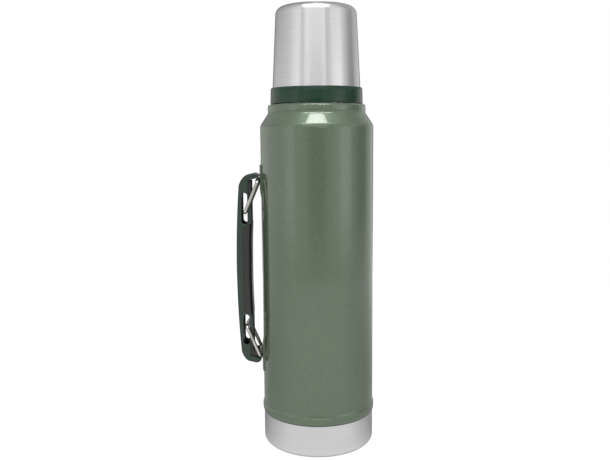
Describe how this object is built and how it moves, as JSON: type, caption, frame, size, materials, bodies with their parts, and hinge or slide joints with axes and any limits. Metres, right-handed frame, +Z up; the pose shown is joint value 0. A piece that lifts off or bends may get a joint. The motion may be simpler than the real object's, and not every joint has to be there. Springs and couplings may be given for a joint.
{
  "type": "vacuum flask",
  "caption": "Tall steel vacuum flask with a painted jacket, screw-on drinking cup, screw-in stopper and a wire-hung carrying handle that folds flat against its side.",
  "frame": {"origin": "centre of the foot on the flask's axis, at the level of the standing ring", "axes": "+Z up the flask's axis, -X towards the carrying handle, Y across it; the handle is even about the plane Y = 0"},
  "size_m": [0.115, 0.095, 0.363],
  "materials": {
    "shell_paint": "hammertone semi-gloss enamel",
    "base_steel": "brushed",
    "inner_steel": "satin drawn steel",
    "seal_glass": "fused glass bead",
    "getter_metal": "matt sintered metal",
    "handle_paint": "semi-gloss dark green enamel",
    "grip_plastic": "moulded, matt",
    "wire_steel": "polished stainless wire",
    "cup_steel": "brushed",
    "ring_plastic": "moulded, glossy",
    "plug_plastic": "moulded, satin",
    "core_foam": "cut foam",
    "seal_rubber": "silicone rubber"
  },
  "bodies": {
    "flask": {"outer_shell": "shell_paint", "base_cup": "base_steel", "jacket_plate": "inner_steel", "evacuation_seal": "seal_glass", "getter_ring": "getter_metal", "inner_vessel": "inner_steel", "mouth_tube": "inner_steel", "threaded_neck": "inner_steel", "upper_bracket": "shell_paint", "lower_bracket": "shell_paint"},
    "upper_bail": {"upper_bail": "wire_steel"},
    "lower_bail": {"lower_bail": "wire_steel"},
    "handle": {"handle_channel": "handle_paint", "handle_grip": "grip_plastic"},
    "stopper_gasket": {"stopper_gasket": "seal_rubber"},
    "stopper": {"stopper_body": "plug_plastic", "stopper_core": "core_foam", "stopper_base": "plug_plastic", "flange_gasket": "seal_rubber", "stopper_knob": "plug_plastic"},
    "cup_liner": {"cup_liner": "cup_steel"},
    "cup": {"cup_shell": "cup_steel", "cup_collar": "ring_plastic"}
  },
  "joints": [
    {"name": "upper_bail_swing", "type": "hinge", "parent": "flask", "child": "upper_bail", "pos_m": [-0.0486, 0, 0.2234], "axis": [0, 1, 0], "range_deg": [0, 24.5]},
    {"name": "lower_bail_swing", "type": "hinge", "parent": "flask", "child": "lower_bail", "pos_m": [-0.0486, 0, 0.0756], "axis": [0, 1, 0], "range_deg": [-24.5, 0]},
    {"name": "handle_level", "type": "hinge", "parent": "upper_bail", "child": "handle", "pos_m": [-0.05958, 0, 0.19764], "axis": [0, 1, 0], "range_deg": [-24.5, 0]},
    {"name": "stopper_lift", "type": "slide", "parent": "flask", "child": "stopper_gasket", "axis": [0, 0, 1], "range_m": [0, 0.055]},
    {"name": "stopper_turn", "type": "hinge", "parent": "stopper_gasket", "child": "stopper", "pos_m": [0, 0, 0.29], "axis": [0, 0, 1], "continuous": true},
    {"name": "cup_lift", "type": "slide", "parent": "stopper_gasket", "child": "cup_liner", "axis": [0, 0, 1], "range_m": [0, 0.06]},
    {"name": "cup_turn", "type": "hinge", "parent": "cup_liner", "child": "cup", "pos_m": [0, 0, 0.292], "axis": [0, 0, 1], "continuous": true}
  ],
  "couplings": [
    {"joint": "lower_bail_swing", "follows": "upper_bail_swing", "ratio": -1},
    {"joint": "handle_level", "follows": "upper_bail_swing", "ratio": -1}
  ]
}
